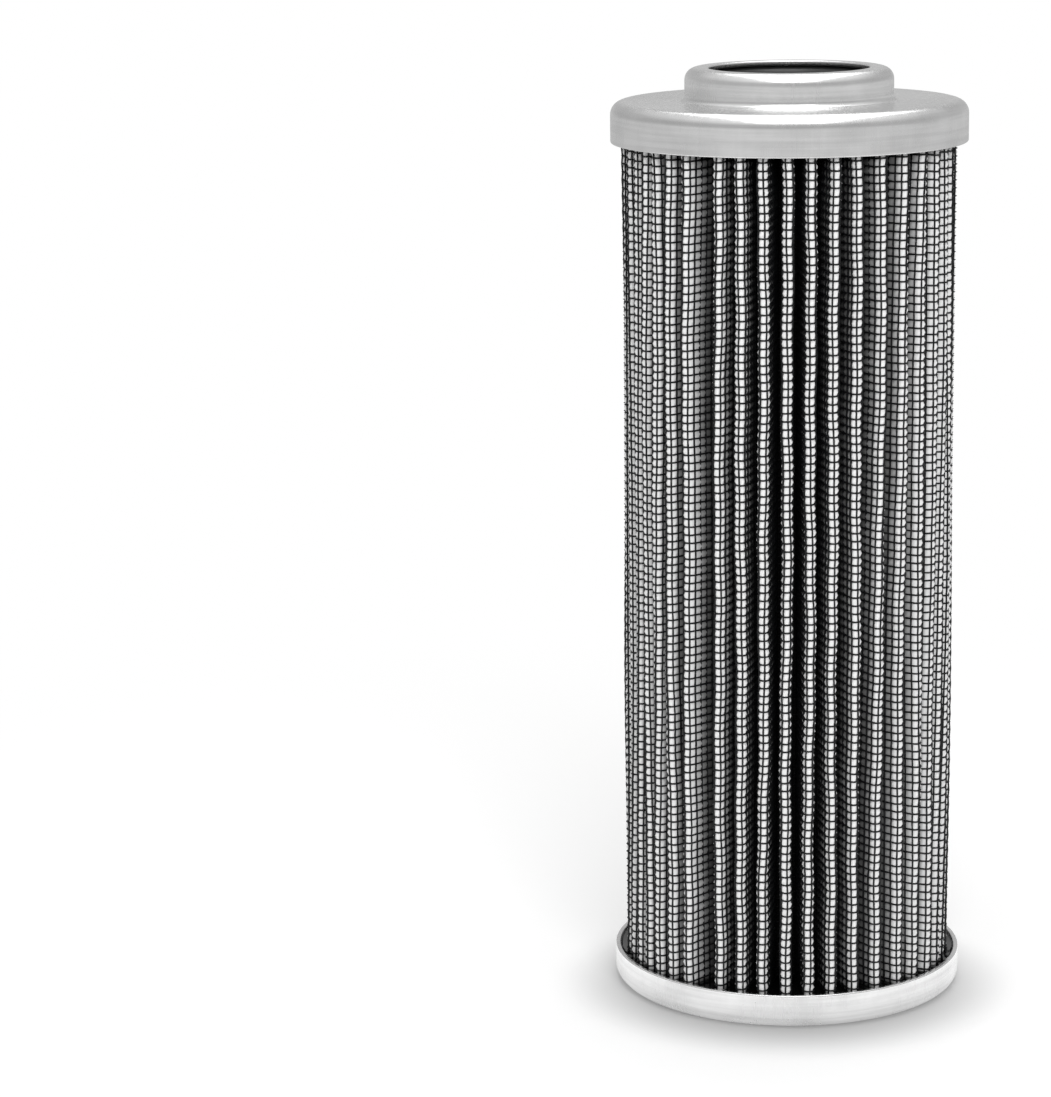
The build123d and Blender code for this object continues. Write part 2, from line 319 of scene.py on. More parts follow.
def makeCamera():
    camera = bpy.data.cameras.new("camera")
    camera.lens, camera.sensor_width, camera.sensor_fit = shot["lens"], shot["sensor"], "AUTO"
    camera.clip_start, camera.clip_end = shot["clipStart"], shot["clipEnd"]
    holder = bpy.data.objects.new("camera", camera)
    bpy.context.scene.collection.objects.link(holder)
    place, aim = Vector(shot["place"]), Vector(shot["aim"])
    turn = (aim - place).to_track_quat("-Z", "Y").to_matrix().to_4x4()
    holder.matrix_world = Matrix.Translation(place) @ turn @ Matrix.Rotation(shot["roll"], 4, "Z")
    bpy.context.scene.camera = holder


makeFloor()
makeWorld()
makeCamera()
for lampName, lampValues in lamps.items():
    addLamp(lampName, **lampValues)
bpy.context.scene.view_settings.view_transform = "Standard"
print("stage: floor, world, lamps and camera are set")


steelMarks = {      # millimetres, changes of roughness, and how far each kind of mark is drawn out
    "patch": 9.0, "drawnDepth": 0.02, "patchDuller": (-0.03, 0.04), "streakDuller": (-0.04, 0.04),
    "drawn": {"spacing": 0.8, "stretch": (1, 1, 0.04)},
    "turned": {"spacing": 0.9, "stretch": (0.03, 0.03, 1)},
}


def platedSteel(name, light, worn, roughness, grain, grainDepth):
    # zinc-plated pressed steel: satin, with a fine grain, faint drawing marks up the walls, faint
    # turning marks round them and soft cloudy patches
    material, tree, place = newMaterial(name)
    cloud = addNode(tree, "ShaderNodeTexNoise", {},
                    {"Vector": place, "Scale": 1 / (steelMarks["patch"] * mm), "Detail": 3.0})
    marks = []
    for kind in ("drawn", "turned"):
        stretched = addNode(tree, "ShaderNodeMapping", {},
                            {"Vector": place, "Scale": steelMarks[kind]["stretch"]})
        marks.append(addNode(tree, "ShaderNodeTexNoise", {},
                             {"Vector": stretched.outputs[0], "Detail": 2.0,
                              "Scale": 1 / (steelMarks[kind]["spacing"] * mm)}))
    drawn, turned = marks
    grit = addNode(tree, "ShaderNodeTexNoise", {},
                   {"Vector": place, "Scale": 1 / (grain * mm), "Detail": 2.0})
    uneven = addNode(tree, "ShaderNodeMath", {"operation": "ADD"},
                     {0: cloud.outputs["Fac"], 1: turned.outputs["Fac"]})
    share = addNode(tree, "ShaderNodeMapRange", {},
                    {"Value": uneven.outputs[0], "From Min": 0.75, "From Max": 1.25})
    tint = addNode(tree, "ShaderNodeMix", {"data_type": "RGBA"},
                   {0: share.outputs[0], 6: linear(light), 7: linear(worn)})
    patches = addNode(tree, "ShaderNodeMapRange", {},
                      {"Value": cloud.outputs["Fac"], "From Min": 0.3, "From Max": 0.7,
                       "To Min": roughness + steelMarks["patchDuller"][0],
                       "To Max": roughness + steelMarks["patchDuller"][1]})
    streaks = addNode(tree, "ShaderNodeMapRange", {},
                      {"Value": drawn.outputs["Fac"], "From Min": 0.3, "From Max": 0.7,
                       "To Min": steelMarks["streakDuller"][0], "To Max": steelMarks["streakDuller"][1]})
    rough = addNode(tree, "ShaderNodeMath", {"operation": "ADD"},
                    {0: patches.outputs[0], 1: streaks.outputs[0]})
    lines = addNode(tree, "ShaderNodeBump", {},
                    {"Height": drawn.outputs["Fac"], "Strength": 0.4,
                     "Distance": steelMarks["drawnDepth"] * mm})
    fine = addNode(tree, "ShaderNodeBump", {},
                   {"Height": grit.outputs["Fac"], "Strength": 0.35, "Distance": grainDepth * mm,
                    "Normal": lines.outputs[0]})
    closeMaterial(tree, {"Metallic": 1.0, "Base Color": tint.outputs[2], "Roughness": rough.outputs[0],
                         "Normal": fine.outputs[0]})
    return material


rubberLook = {"dark": "#191919", "bloomed": "#252525", "shine": 0.7, "smooth": 0.28, "dull": 0.48,
              "peel": 0.3, "peelDepth": 0.01, "bloom": 4.0}                 # millimetres


def nitrileRubber():
    # moulded nitrile: near black, with a dull oily sheen and a very fine orange-peel
    material, tree, place = newMaterial("nitrile_rubber")
    peel = addNode(tree, "ShaderNodeTexNoise", {},
                   {"Vector": place, "Scale": 1 / (rubberLook["peel"] * mm), "Detail": 2.0})
    bloom = addNode(tree, "ShaderNodeTexNoise", {},
                    {"Vector": place, "Scale": 1 / (rubberLook["bloom"] * mm), "Detail": 3.0})
    tint = addNode(tree, "ShaderNodeMix", {"data_type": "RGBA"},
                   {0: bloom.outputs["Fac"], 6: linear(rubberLook["dark"]),
                    7: linear(rubberLook["bloomed"])})
    rough = addNode(tree, "ShaderNodeMapRange", {},
                    {"Value": bloom.outputs["Fac"], "To Min": rubberLook["smooth"],
                     "To Max": rubberLook["dull"]})
    skin = addNode(tree, "ShaderNodeBump", {},
                   {"Height": peel.outputs["Fac"], "Strength": 0.3,
                    "Distance": rubberLook["peelDepth"] * mm})
    closeMaterial(tree, {"Specular IOR Level": rubberLook["shine"], "Base Color": tint.outputs[2],
                         "Roughness": rough.outputs[0], "Normal": skin.outputs[0]})
    return material


# the darkest colour is painted shade deep in the folds; litWay and fadeWay set where it starts and how fast
# it deepens
mediaLook = {"thin": "#DCDCDC", "thick": "#F4F4F4", "paintedFoldShade": "#0C0C0C", "roughness": 0.9, "shine": 0.2,
             "fibre": 0.35, "napDepth": 0.04,       # millimetres
             "litWay": 1.6, "fadeWay": 1.6}         # millimetres along the sheet from the tip's middle


def glassFibre():
    # wet-laid glass-fibre sheet: matt white, faintly fibrous; down in the folds a painted shade darkens it
    material, tree, place = newMaterial("glass_fibre_media")
    deep = addNode(tree, "ShaderNodeAttribute", {"attribute_name": "deepInFold"}).outputs["Fac"]
    # fibres are a few hundredths of a millimetre; they are drawn coarser here, so that they show
    fibres = addNode(tree, "ShaderNodeTexNoise", {},
                     {"Vector": place, "Scale": 1 / (mediaLook["fibre"] * mm), "Detail": 4.0,
                      "Roughness": 0.7})
    mottle = addNode(tree, "ShaderNodeMix", {"data_type": "RGBA"},
                     {0: fibres.outputs["Fac"], 6: linear(mediaLook["thin"]),
                      7: linear(mediaLook["thick"])})
    # painted shade: the share of the sheet's own colour that is left is exp(-way / fadeWay), with the way
    # counted from where litWay ends
    past = addNode(tree, "ShaderNodeMath", {"operation": "SUBTRACT"}, {0: deep, 1: mediaLook["litWay"]})
    way = addNode(tree, "ShaderNodeMath", {"operation": "MAXIMUM"}, {0: past.outputs[0], 1: 0.0})
    unshadedShare = addNode(tree, "ShaderNodeMath", {"operation": "POWER"},
                  {0: np.exp(-1 / mediaLook["fadeWay"]).item(), 1: way.outputs[0]})
    withPaintedShade = addNode(tree, "ShaderNodeMix", {"data_type": "RGBA"},
                     {0: unshadedShare.outputs[0], 6: linear(mediaLook["paintedFoldShade"]), 7: mottle.outputs[2]})
    nap = addNode(tree, "ShaderNodeBump", {},
                  {"Height": fibres.outputs["Fac"], "Strength": 0.4,
                   "Distance": mediaLook["napDepth"] * mm})
    closeMaterial(tree, {"Roughness": mediaLook["roughness"], "Specular IOR Level": mediaLook["shine"],
                         "Base Color": withPaintedShade.outputs[2], "Normal": nap.outputs[0]})
    return material


wireLook = {"dark": "#0B0B0C", "pale": "#17181A", "shine": 0.4, "smooth": 0.4, "dull": 0.65,
            "lump": 0.6}                            # millimetres


def coatedWire():
    # epoxy-coated steel wire: black, half gloss, with a slightly lumpy coat
    material, tree, place = newMaterial("epoxy_coated_wire")
    lumps = addNode(tree, "ShaderNodeTexNoise", {},
                    {"Vector": place, "Scale": 1 / (wireLook["lump"] * mm), "Detail": 2.0})
    tint = addNode(tree, "ShaderNodeMix", {"data_type": "RGBA"},
                   {0: lumps.outputs["Fac"], 6: linear(wireLook["dark"]), 7: linear(wireLook["pale"])})
    rough = addNode(tree, "ShaderNodeMapRange", {},
                    {"Value": lumps.outputs["Fac"], "To Min": wireLook["smooth"],
                     "To Max": wireLook["dull"]})
    closeMaterial(tree, {"Specular IOR Level": wireLook["shine"], "Base Color": tint.outputs[2],
                         "Roughness": rough.outputs[0]})
    return material


resinLook = {"clean": "#060606", "dusty": "#111111", "ior": 1.55, "smooth": 0.05, "dull": 0.16,
             "ripple": 3.5, "rippleDepth": 0.08, "speck": 0.5}              # millimetres


def castResin():
    # poured black epoxy: very glossy, with the slow ripples that it set with
    material, tree, place = newMaterial("cast_epoxy_resin")
    ripple = addNode(tree, "ShaderNodeTexNoise", {},
                     {"Vector": place, "Scale": 1 / (resinLook["ripple"] * mm), "Detail": 1.0})
    dust = addNode(tree, "ShaderNodeTexNoise", {},
                   {"Vector": place, "Scale": 1 / (resinLook["speck"] * mm), "Detail": 3.0})
    tint = addNode(tree, "ShaderNodeMix", {"data_type": "RGBA"},
                   {0: dust.outputs["Fac"], 6: linear(resinLook["clean"]), 7: linear(resinLook["dusty"])})
    rough = addNode(tree, "ShaderNodeMapRange", {},
                    {"Value": dust.outputs["Fac"], "To Min": resinLook["smooth"],
                     "To Max": resinLook["dull"]})
    wave = addNode(tree, "ShaderNodeBump", {},
                   {"Height": ripple.outputs["Fac"], "Strength": 0.5,
                    "Distance": resinLook["rippleDepth"] * mm})
    closeMaterial(tree, {"IOR": resinLook["ior"], "Base Color": tint.outputs[2],
                         "Roughness": rough.outputs[0], "Normal": wave.outputs[0]})
    return material


innerMeshLook = {"wire": "#0E0E0F", "media": "#C9C9C6", "roughness": 0.7,
                 "wireDepth": 0.15,                 # millimetres
                 "wireEdge": (0.08, 0.12)}          # shares of the pitch, from the wire's middle


def innerMesh(wirePitch):
    # the same coated mesh seen from the inside: black lines at each wire on the white media
    material, tree, place = newMaterial("epoxy_coated_inner_mesh")
    parts = addNode(tree, "ShaderNodeSeparateXYZ", {}, {0: place})
    flat = addNode(tree, "ShaderNodeCombineXYZ", {}, {"X": parts.outputs["X"], "Y": parts.outputs["Y"]})
    radius = addNode(tree, "ShaderNodeVectorMath", {"operation": "LENGTH"}, {0: flat.outputs[0]})
    clear = []
    for along in (parts.outputs["Z"], radius.outputs["Value"]):
        cell = addNode(tree, "ShaderNodeMath", {"operation": "DIVIDE"}, {0: along, 1: wirePitch * mm})
        fromWire = addNode(tree, "ShaderNodeMath", {"operation": "PINGPONG"}, {0: cell.outputs[0], 1: 0.5})
        clear.append(addNode(tree, "ShaderNodeMapRange", {},
                             {"Value": fromWire.outputs[0], "From Min": innerMeshLook["wireEdge"][0],
                              "From Max": innerMeshLook["wireEdge"][1]}))
    opening = addNode(tree, "ShaderNodeMath", {"operation": "MULTIPLY"},
                      {0: clear[0].outputs[0], 1: clear[1].outputs[0]})
    tint = addNode(tree, "ShaderNodeMix", {"data_type": "RGBA"},
                   {0: opening.outputs[0], 6: linear(innerMeshLook["wire"]),
                    7: linear(innerMeshLook["media"])})
    relief = addNode(tree, "ShaderNodeBump", {"invert": True},
                     {"Height": opening.outputs[0], "Strength": 0.6,
                      "Distance": innerMeshLook["wireDepth"] * mm})
    closeMaterial(tree, {"Roughness": innerMeshLook["roughness"], "Base Color": tint.outputs[2],
                         "Normal": relief.outputs[0]})
    return material


capSteel = platedSteel("zinc_plated_cap_steel", light="#EDEDED", worn="#DADADA", roughness=0.24,
                       grain=0.35, grainDepth=0.003)
retainerSteel = platedSteel("bright_retainer_steel", light="#EAEAEA", worn="#E2E2E2", roughness=0.2,
                            grain=0.3, grainDepth=0.004)
coreSteel = platedSteel("galvanised_core_steel", light="#BCBCBC", worn="#A9A9A9", roughness=0.36,
                        grain=0.5, grainDepth=0.01)
rubber, media, wire, resin = nitrileRubber(), glassFibre(), coatedWire(), castResin()
print("materials: made")


cap = {"sheet": 1.0, "round": 2.5, "innerRound": 1.5, "cutEdge": 0.3, "steps": 160}

capLow, capHigh = boxMm("top_end_cap")
panHigh = boxMm("bottom_end_cap")[1]
ringLow, ringHigh = boxMm("neck_o_ring")
retainerLow, retainerHigh = boxMm("seal_retainer")
resinLow, resinHigh = boxMm("bottom_potting")
packLow, packHigh = boxMm("outer_wire_mesh")
coreRadius = boxMm("core_tube")[1][0]
capRadius = capHigh[0]
skirtInner = capRadius - cap["sheet"]
cordRadius = (ringHigh[2] - ringLow[2]) / 2
ringInner = ringHigh[0] - 2 * cordRadius

neck = {"height": 6.2, "round": 2.3, "innerRound": 1.3, "fillet": 1.2, "sideClearance": 0.25,
        "lipStandsBack": 0.2, "lipRound": 0.3}
boreRadius = ringInner + neck["lipStandsBack"]


def makeTopCap():
    # the section of skirt, flange, neck and lip, one sheet thick, carried round the axis
    top, skirtEdge = capHigh[2], capLow[2]
    flangeTop = top - neck["height"]
    flangeUnder, lipUnder = flangeTop - cap["sheet"], top - cap["sheet"]
    neckInner = ringHigh[0] + neck["sideClearance"]
    neckOuter = neckInner + cap["sheet"]
    profile = roundedProfile([
        (capRadius, skirtEdge, cap["cutEdge"]),
        (capRadius, flangeTop, cap["round"]),
        (neckOuter, flangeTop, neck["fillet"]),
        (neckOuter, top, neck["round"]),
        (boreRadius, top, neck["lipRound"]),
        (boreRadius, lipUnder, cap["cutEdge"]),
        (neckInner, lipUnder, neck["innerRound"]),
        (neckInner, flangeUnder, cap["cutEdge"]),
        (skirtInner, flangeUnder, cap["innerRound"]),
        (skirtInner, skirtEdge, cap["cutEdge"]),
    ])
    points, faces = revolve(profile, cap["steps"])
    makePiece("pressed_top_cap", points, faces, capSteel, "top_end_cap")


pan = {"recessRadius": 13.0, "recessDepth": 0.8, "recessRound": 0.8}


def makeBottomCap():
    # the section of pan and recess, one sheet thick, carried round the axis from pole to pole
    sheet, recess, depth = cap["sheet"], pan["recessRadius"], pan["recessDepth"]
    flatRadius, soft = recess - depth, pan["recessRound"]
    profile = roundedProfile([
        (0, depth, 0),
        (flatRadius, depth, soft),
        (recess, 0, soft),
        (capRadius, 0, cap["round"]),
        (capRadius, panHigh[2], cap["cutEdge"]),
        (skirtInner, panHigh[2], cap["cutEdge"]),
        (skirtInner, sheet, cap["innerRound"]),
        (recess, sheet, soft),
        (flatRadius, sheet + depth, soft),
        (0, sheet + depth, 0),
    ], closed=False)
    points, faces = revolve(profile, cap["steps"])
    makePiece("pressed_bottom_pan", points, faces, capSteel, "bottom_end_cap")


seal = {"sectionSteps": 28, "steps": 128}


def makeSeal():
    # the ring's section is a circle: r = R + c cos a, z = Z + c sin a
    angle = np.arange(seal["sectionSteps"]) / seal["sectionSteps"] * 2 * np.pi
    middle = (ringLow[2] + ringHigh[2]) / 2
    section = np.stack([ringInner + cordRadius + cordRadius * np.cos(angle),
                        middle + cordRadius * np.sin(angle)], -1)
    points, faces = revolve(section, seal["steps"])
    makePiece("neck_seal_ring", points, faces, rubber, "neck_o_ring")


retainer = {"sheet": 0.8, "brim": 2.0, "cutEdge": 0.15, "bend": 0.3, "holeStandsBack": 0.4, "steps": 96}


def makeRetainer():
    # the section of a hat with a brim below and a hole in its top, carried round the axis
    shelfTop, brimUnder = retainerHigh[2], retainerLow[2]
    sheet, edge, bend = retainer["sheet"], retainer["cutEdge"], retainer["bend"]
    brimRadius = retainerHigh[0]
    hatRadius = brimRadius - retainer["brim"]
    hole = boreRadius + retainer["holeStandsBack"]
    profile = roundedProfile([
        (hole, shelfTop, edge),
        (hole, shelfTop - sheet, edge),
        (hatRadius - sheet, shelfTop - sheet, bend),
        (hatRadius - sheet, brimUnder, bend),
        (brimRadius, brimUnder, edge),
        (brimRadius, brimUnder + sheet, edge),
        (hatRadius, brimUnder + sheet, bend),
        (hatRadius, shelfTop, bend),
    ])
    points, faces = revolve(profile, retainer["steps"])
    makePiece("pressed_seal_retainer", points, faces, retainerSteel, "seal_retainer")


pour = {"coreClearance": 0.1, "climb": 0.4, "climbReach": 0.35,
        "stations": [0.0, 0.08, 0.16, 0.28, 0.42, 0.6, 0.85, 1.2, 2.0, 4.0, 8.0]}   # from the wall


def makeBottomResin():
    # its surface climbs the pan's wall: z = level + climb * exp(-distance from the wall / reach)
    away = np.array(pour["stations"])
    inner, bottom, level = coreRadius + pour["coreClearance"], resinLow[2], resinHigh[2]
    height = level + pour["climb"] * np.exp(-away / pour["climbReach"])
    under = roundedProfile([(inner, bottom, 0), (skirtInner, bottom, cap["innerRound"]),
                            (skirtInner, height[0], 0)], closed=False)
    surface = np.stack([skirtInner - away[1:], height[1:]], -1)
    profile = np.vstack([under, surface, [inner, level]])
    points, faces = revolve(profile, cap["steps"])
    makePiece("poured_bottom_resin", points, faces, resin, "bottom_potting")


makeTopCap()
makeBottomCap()
makeSeal()
makeRetainer()
makeBottomResin()
print("caps, seal and resin: made")


pleats = {      # millimetres, except where said
    "count": 44, "tipRadius": 1.2, "valleyRadius": 0.2, "stack": 1.0, "rimGap": 1.0, "coreGap": 0.2,
    "seamAngle": -121.0, "seamValley": 12.9,                        # degrees
    "mostLean": 5.0,                                                # degrees
    "leanStart": 5.3, "leanEnd": 0.8, "leanRamp": 4.4,              # pleats from the seam, either way
    "tipSway": 0.45,                                                # degrees
    "swayWaves": [(0.5, 11, 0), (0.3, 27, 1), (0.35, 2.7, 3)],      # share, length, row of swayPhase
    "tipSink": 0.18, "sinkLength": 19, "sinkPhase": 2,              # the last is a row of swayPhase
}
wireMesh = {    # millimetres, except where said
    "wirePitch": 1.5, "hoopPitch": 1.545, "wireRadius": 0.2, "depth": 0.2, "weave": 0.06,
    "wander": 0.8, "wanderLength": 50,
    "hoopWave": 0.2,
    "hoopWaves": [(0.6, 3, 0.9, 37), (0.4, 7, 2.1, -23)],           # share, count round, start, length
    "tipWaves": [(1, 31), (0.5, 9)], "tipWaveReach": 12,            # share, length
    "sides": 3, "eachSide": 7, "wovenEachSide": 1,                  # counts
    "flankLevels": 28, "deepLevels": 15,                            # counts
}
mediaSheet = {  # millimetres, except the last two
    "grooveDepth": 0.42, "puff": 0.38, "innerDepth": 0.7, "innerShadeWay": 20.0,
    # the last two: the way that paints the inner side dark, and the share of painted fold shade kept on the
    # seam valley's flanks
    "innerLevels": 9, "seamShadeShare": 0.75,
}

# Stations across a pleat, as distances along the sheet from the middle of the tip, in wire
# pitches, and how far the sheet puffs out at each, as a share. A wire runs at each whole number.
stations = np.array([-2.5, -2, -1.5, -1, -2 / 3, -1 / 3, 0, 1 / 3, 2 / 3, 1, 1.5, 2, 2.5])
stationPuff = np.array([1, 0, 1, 0, 0.9, 0.9, 0, 0.9, 0.9, 0, 1, 0, 1])

hoopCount = round((packHigh[2] - packLow[2]) / wireMesh["hoopPitch"])
hoopPitch = (packHigh[2] - packLow[2]) / hoopCount
tipCentreRadius = skirtInner - pleats["rimGap"] - pleats["tipRadius"]
rootCentreRadius = coreRadius + pleats["coreGap"] + pleats["valleyRadius"] + pleats["stack"]
pleat = np.arange(pleats["count"])
pleatPitch = (360 - pleats["seamValley"]) / (pleats["count"] - 1)
upright = pleats["seamAngle"] + pleats["seamValley"] / 2 + pleat * pleatPitch
lean = (pleats["mostLean"] * smoothStep((pleat - pleats["leanStart"]) / pleats["leanRamp"])
        * smoothStep((pleats["count"] - 1 - pleat - pleats["leanEnd"]) / pleats["leanRamp"]))
rootAngleAfter = np.radians(np.where(pleat == pleats["count"] - 1, pleats["seamAngle"] + 360,
                                     upright + pleatPitch / 2))
rootAngleBefore = np.roll(rootAngleAfter, 1)
swayPhase = rng.uniform(0, 2 * np.pi, (4, pleats["count"]))
wanderPhase = rng.uniform(0, 2 * np.pi, pleats["count"])
wanderRate = rng.uniform(0.5, 1.6, pleats["count"]) * rng.choice([-1, 1], pleats["count"])
liftPhase = rng.uniform(0, 2 * np.pi, (2, pleats["count"]))


def towards(angle):
    return np.stack([np.cos(angle), np.sin(angle)], -1)


def halfTurn(angle):
    # the same angle between minus and plus half a turn
    return (angle + np.pi) % (2 * np.pi) - np.pi


def withHeight(flat, height):
    return np.concatenate([flat, np.broadcast_to(height, flat.shape[:-1])[..., None]], -1)


def foldShape(level):
    # The folds at each level: tips sway and sink a little with height as sums of sines, and each
    # leg is the inner tangent of a circle round the tip and one round the root.
    z = level[:, None]
    sway = sum(share * np.sin(z / length + swayPhase[row]) for share, length, row in pleats["swayWaves"])
    tipAngle = np.radians(upright + lean + pleats["tipSway"] * sway)
    dip = np.sin(z / pleats["sinkLength"] + swayPhase[pleats["sinkPhase"]])
    sink = pleats["tipSink"] * (0.5 + 0.5 * dip)
    tip = towards(tipAngle) * (tipCentreRadius - sink)[..., None]
    sides = {}
    for side, rootAngle in ((1, rootAngleAfter), (-1, rootAngleBefore)):
        root = np.broadcast_to(towards(rootAngle) * rootCentreRadius, tip.shape)
        across = root - tip
        length = np.linalg.norm(across, axis=-1, keepdims=True)
        unit = across / length
        along = (pleats["tipRadius"] + pleats["valleyRadius"]) / length
        turned = np.stack([unit[..., 1], -unit[..., 0]], -1)
        normal = unit * along + turned * side * np.sqrt(1 - along ** 2)
        leg = across - normal * (pleats["tipRadius"] + pleats["valleyRadius"])
        legAngle = np.arctan2(normal[..., 1], normal[..., 0])
        tipTurn = halfTurn(legAngle - tipAngle)
        rootTurn = halfTurn(rootAngle - legAngle)
        sides[side] = {
            "root": root, "leg": leg, "tipTurn": tipTurn, "rootTurn": rootTurn,
            "tipLength": np.abs(tipTurn) * (pleats["tipRadius"] - wireMesh["depth"]),
            "legLength": np.linalg.norm(leg, axis=-1),
            "rootLength": np.abs(rootTurn) * (pleats["valleyRadius"] + wireMesh["depth"]),
        }
    return {"tip": tip, "tipAngle": tipAngle, "sides": sides}


def foldPoints(shape, along, lift):
    # The point at a distance along the sheet from the tip's middle, and its outward normal: round
    # the tip the normal turns evenly, down the leg it stays, and round the root it turns again.
    # lift is how far the point stands out from the pack's outer surface.
    chosen = {}
    for key in ("root", "leg", "tipTurn", "rootTurn", "tipLength", "legLength", "rootLength"):
        after, before = (shape["sides"][side][key][:, :, None] for side in (1, -1))
        pick = along >= 0
        chosen[key] = np.where(pick[..., None] if after.ndim == 4 else pick, after, before)
    distance = np.abs(along)
    tipShare = np.clip(distance / chosen["tipLength"], 0, 1)
    legShare = np.clip((distance - chosen["tipLength"]) / chosen["legLength"], 0, 1)
    rootShare = np.clip((distance - chosen["tipLength"] - chosen["legLength"]) / chosen["rootLength"], 0, 1)
    angle = shape["tipAngle"][:, :, None] + tipShare * chosen["tipTurn"] + rootShare * chosen["rootTurn"]
    normal = towards(angle)
    inRoot = rootShare > 0
    anchor = np.where(inRoot[..., None], chosen["root"],
                      shape["tip"][:, :, None] + chosen["leg"] * legShare[..., None])
    base = np.where(inRoot, -pleats["valleyRadius"], pleats["tipRadius"])
    return anchor + normal * (base + lift)[..., None], normal


def wanderAt(level):
    # how far the lengthwise wires have wandered across each tip, as a sine of the height
    return wireMesh["wander"] * np.sin(wanderPhase + wanderRate * level[:, None] / wireMesh["wanderLength"])


def sheetDistances(shape, level):
    # station distances at each level: the mesh wanders across the tips, and the legs' ends and the
    # root are added, so that each row of pleats is one unbroken path
    middle = wanderAt(level)[..., None] + stations * wireMesh["wirePitch"]
    after, before = shape["sides"][1], shape["sides"][-1]
    legEnd = (after["tipLength"] + after["legLength"])[..., None]
    legStart = -(before["tipLength"] + before["legLength"])[..., None]
    root = legEnd + after["rootLength"][..., None]
    return np.concatenate([legStart, middle, legEnd, root], -1)


def hoopHeight(level, along):
    # a hoop wire's height: slow waves round the pack, and a lift of each tip that fades to its roots
    angle = np.radians(upright)[None, :, None] + along / tipCentreRadius
    z = level[:, None, None]
    waves = sum(share * np.sin(count * angle + start + z / length)
                for share, count, start, length in wireMesh["hoopWaves"])
    tipLift = sum(share * np.sin(z / length + phase[:, None])
                  for (share, length), phase in zip(wireMesh["tipWaves"], liftPhase))
    fade = np.clip(1 - np.abs(along) / wireMesh["tipWaveReach"], 0, 1) ** 2
    return wireMesh["hoopWave"] * (waves + tipLift * fade)


def wireCorners(centre, outward, across):
    # a wire's section at each node: centre + radius * (cos a * outward + sin a * across)
    turn = np.arange(wireMesh["sides"]) / wireMesh["sides"] * 2 * np.pi
    section = outward[..., None, :] * np.cos(turn)[:, None] + across[..., None, :] * np.sin(turn)[:, None]
    return centre[..., None, :] + wireMesh["wireRadius"] * section


def makeHoops(name, first, last):
    # closed tubes: each ring of nodes follows the folds, over one lengthwise wire and under the next
    number = np.arange(first, last)
    level = packLow[2] + (number + 0.5) * hoopPitch
    shape = foldShape(level)
    along = sheetDistances(shape, level)
    crossing = np.zeros(along.shape)
    wireNumber = np.round(stations).astype(int)
    over = np.where((wireNumber + number[:, None]) % 2 == 0, 1, -1) * isWhole(stations)
    crossing[..., 1:-2] = over[:, None, :]
    flat, normal = foldPoints(shape, along, wireMesh["weave"] * crossing - wireMesh["depth"])
    centre = withHeight(flat, level[:, None, None] + hoopHeight(level, along))
    points = wireCorners(centre, withHeight(normal, 0.0), np.array([0, 0, -1]))
    nodes, sides = along.shape[1] * along.shape[2], wireMesh["sides"]
    ring = gridFaces(nodes, sides, closedRows=True, closedColumns=True)
    faces = (ring + np.arange(len(number))[:, None, None] * nodes * sides).reshape(-1, 4)
    makePiece(name, points, faces.tolist(), wire, "outer_wire_mesh")


def upTubes(level, number, weaving):
    # the lengthwise wires of one number, one for each pleat, as tubes with flat ends
    shape = foldShape(level)
    along = (wanderAt(level) + number * wireMesh["wirePitch"])[..., None]
    lift = np.full(along.shape, -wireMesh["depth"])
    if weaving:
        hoop = np.arange(len(level)) - 1
        lift[1:-1] += (wireMesh["weave"] * np.where((number + hoop[1:-1]) % 2 == 0, -1, 1))[:, None, None]
    flat, normal = foldPoints(shape, along, lift)
    centre = withHeight(flat, level[:, None, None] + (hoopHeight(level, along) if weaving else 0))
    outward = withHeight(normal, 0.0)
    sideways = np.stack([-outward[..., 1], outward[..., 0], outward[..., 2]], -1)
    points = wireCorners(centre, outward, sideways)[:, :, 0].transpose(1, 0, 2, 3)   # pleat, level, corner
    rows, sides = len(level), wireMesh["sides"]
    corner = np.arange(sides)
    ends = np.stack([-corner % sides, (rows - 1) * sides + corner])
    offset = pleat[:, None, None] * rows * sides
    walls = (gridFaces(rows, sides, closedColumns=True) + offset).reshape(-1, 4)
    return points.reshape(-1, 3), walls.tolist() + (ends + offset).reshape(-1, sides).tolist()


def makeLengthwiseWires():
    # the wires near each tip weave through the hoops, and those down in the folds run plain
    hoops = packLow[2] + (np.arange(hoopCount) + 0.5) * hoopPitch
    woven = np.concatenate([[packLow[2]], hoops, [packHigh[2]]])
    flank = np.linspace(packLow[2], packHigh[2], wireMesh["flankLevels"])
    deep = np.linspace(packLow[2], packHigh[2], wireMesh["deepLevels"])
    points, faces, count = [], [], 0
    for number in range(-wireMesh["eachSide"], wireMesh["eachSide"] + 1):
        past = abs(number) - wireMesh["wovenEachSide"]
        level = woven if past <= 0 else flank if past == 1 else deep
        newPoints, newFaces = upTubes(level, number, past <= 0)
        points.append(newPoints)
        faces += [[corner + count for corner in face] for face in newFaces]
        count += len(newPoints)
    makePiece("mesh_wires_lengthwise", np.vstack(points), faces, wire, "outer_wire_mesh")


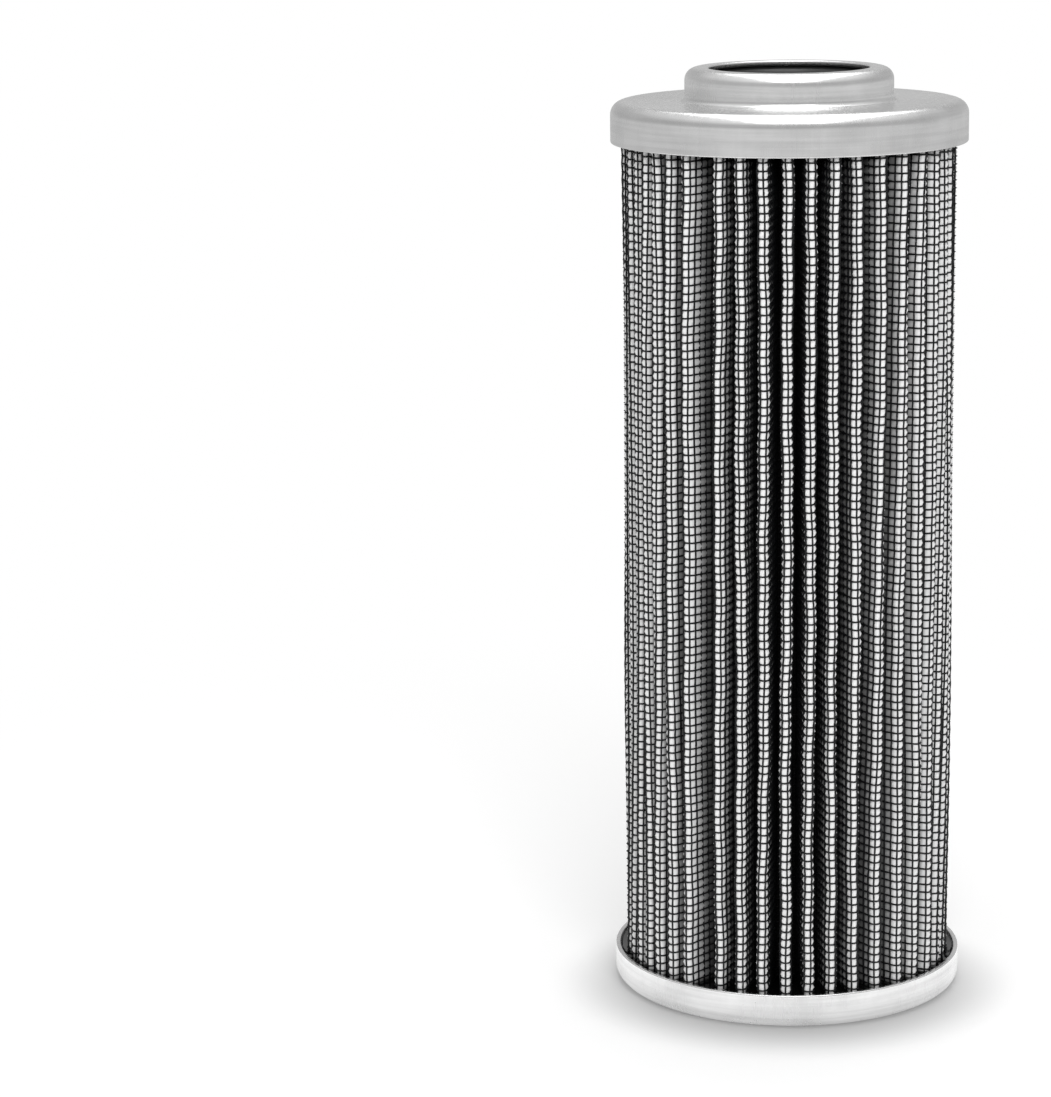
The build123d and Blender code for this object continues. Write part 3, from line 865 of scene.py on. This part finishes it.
def mediaOutside():
    # The quilted side: a groove at every wire, and a puff of station share * row share between
    # them. The second result is the way from the tip's middle, which sets how much painted shade the fold
    # gets.
    hoops = (np.arange(hoopCount) + 0.5) * hoopPitch
    rows = np.sort(np.concatenate([[0], hoops, hoops[1:] - hoopPitch / 2, [hoopCount * hoopPitch]]))
    rowPuff = isWhole(rows / hoopPitch).astype(float)
    rowPuff[[0, -1]] = 0
    level = packLow[2] + rows
    shape = foldShape(level)
    along = sheetDistances(shape, level)
    puff = np.concatenate([[0], stationPuff, [0, 0]]) * rowPuff[:, None, None]
    lift = mediaSheet["puff"] * np.broadcast_to(puff, along.shape) - mediaSheet["grooveDepth"]
    flat, _ = foldPoints(shape, along, lift)
    inside = np.ones(len(level))        # the two end rows stay flat, against the resin
    inside[[0, -1]] = 0
    height = level[:, None, None] + hoopHeight(level, along) * inside[:, None, None]
    # the two flanks of the wide seam valley get less painted shade, as if they were less deep
    deep = np.abs(along)
    deep[:, -1] *= np.where(along[:, -1] > 0, mediaSheet["seamShadeShare"], 1)
    deep[:, 0] *= np.where(along[:, 0] < 0, mediaSheet["seamShadeShare"], 1)
    return withHeight(flat, height), deep


def mediaInside():
    # the plain side, one thickness behind the outer one, painted dark all over with the fold shade
    level = np.linspace(packLow[2], packHigh[2], mediaSheet["innerLevels"])
    shape = foldShape(level)
    along = sheetDistances(shape, level)
    flat, _ = foldPoints(shape, along, np.full(along.shape, -mediaSheet["innerDepth"]))
    return withHeight(flat, level[:, None, None]), np.full(along.shape, mediaSheet["innerShadeWay"])


def closedSheetFaces(rowsOut, rowsIn, columns):
    # both sides, a strip of quads along the bottom and top edges, and one face at each cut end
    start = rowsOut * columns
    faces = gridFaces(rowsOut, columns).tolist()
    faces += (gridFaces(rowsIn, columns)[:, ::-1] + start).tolist()
    edge = np.arange(columns - 1)
    topOut, topIn = start - columns + edge, start + (rowsIn - 1) * columns + edge
    faces += np.stack([edge + 1, edge, start + edge, start + edge + 1], -1).tolist()
    faces += np.stack([topOut, topOut + 1, topIn + 1, topIn], -1).tolist()
    for column, flip in ((0, 1), (columns - 1, -1)):
        outside = np.arange(rowsOut) * columns + column
        inside = start + np.arange(rowsIn) * columns + column
        faces.append(np.concatenate([outside, inside[::-1]])[::flip].tolist())
    return faces


def makeMedia(name, chosen):
    # some of the pleats of the glass-fibre sheet, as one closed sheet
    (outer, outerDeep), (inner, innerDeep) = mediaOutside(), mediaInside()
    outer, inner = outer[:, chosen], inner[:, chosen]
    faces = closedSheetFaces(len(outer), len(inner), outer.shape[1] * outer.shape[2])
    points = np.vstack([outer.reshape(-1, 3), inner.reshape(-1, 3)])
    # deepInFold sets how much painted fold shade the media's material puts at each point
    deep = np.concatenate([outerDeep[:, chosen].ravel(), innerDeep[:, chosen].ravel()])
    makePiece(name, points, faces, media, "filter_media", {"deepInFold": deep})


third = hoopCount // 3
makeHoops("mesh_hoops_lower", 0, third)
makeHoops("mesh_hoops_middle", third, 2 * third)
makeHoops("mesh_hoops_upper", 2 * third, hoopCount)
makeLengthwiseWires()
halfCount = pleats["count"] // 2
makeMedia("pleated_media_right", slice(0, halfCount))
makeMedia("pleated_media_left", slice(halfCount, pleats["count"]))
print("pleated pack: made")


# CAD pieces that stay, with their finish
finishes = {
    "core_tube": coreSteel,
    "inner_wire_mesh": innerMesh(wireMesh["wirePitch"]),
    "side_seam_bead": resin,
    "top_potting": resin,
}
for node, material in finishes.items():
    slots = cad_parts[node].data.materials
    slots.clear()
    slots.append(material)
print("finishes on the CAD pieces: set")
